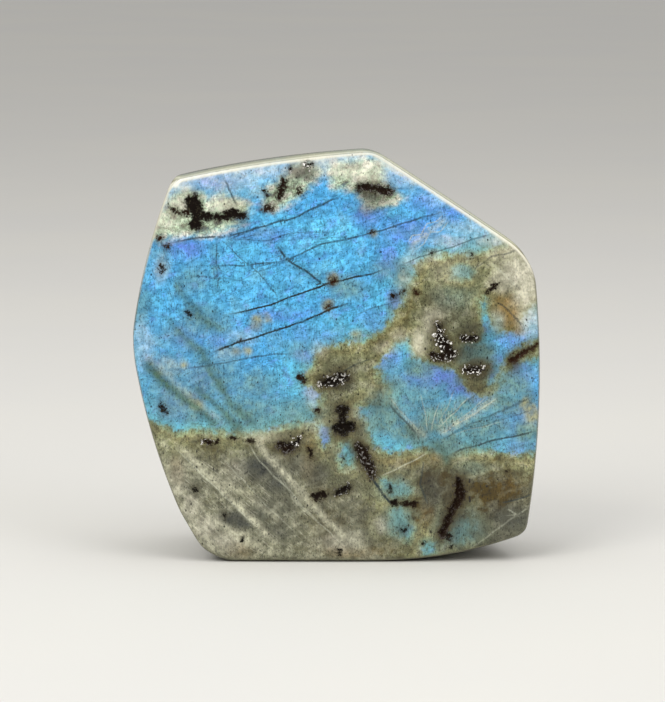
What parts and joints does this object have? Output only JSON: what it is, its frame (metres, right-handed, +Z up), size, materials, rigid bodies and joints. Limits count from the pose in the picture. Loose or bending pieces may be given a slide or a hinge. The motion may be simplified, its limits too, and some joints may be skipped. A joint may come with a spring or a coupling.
{
  "type": "polished labradorite freeform stone",
  "caption": "Free-form chunk of polished labradorite that stands on a flat cut base, with a broad pitted face and a rounded faceted back.",
  "frame": {"origin": "on the plane of the flat cut base, under the middle of the stone's bounding box", "axes": "+Z up from the base, the polished face looks along -Y, +X is to the right of someone facing it"},
  "size_m": [0.1022, 0.041, 0.1035],
  "materials": {
    "labradorite": "polished"
  },
  "bodies": {
    "root": {"labradorite_stone": "labradorite"}
  },
  "joints": []
}
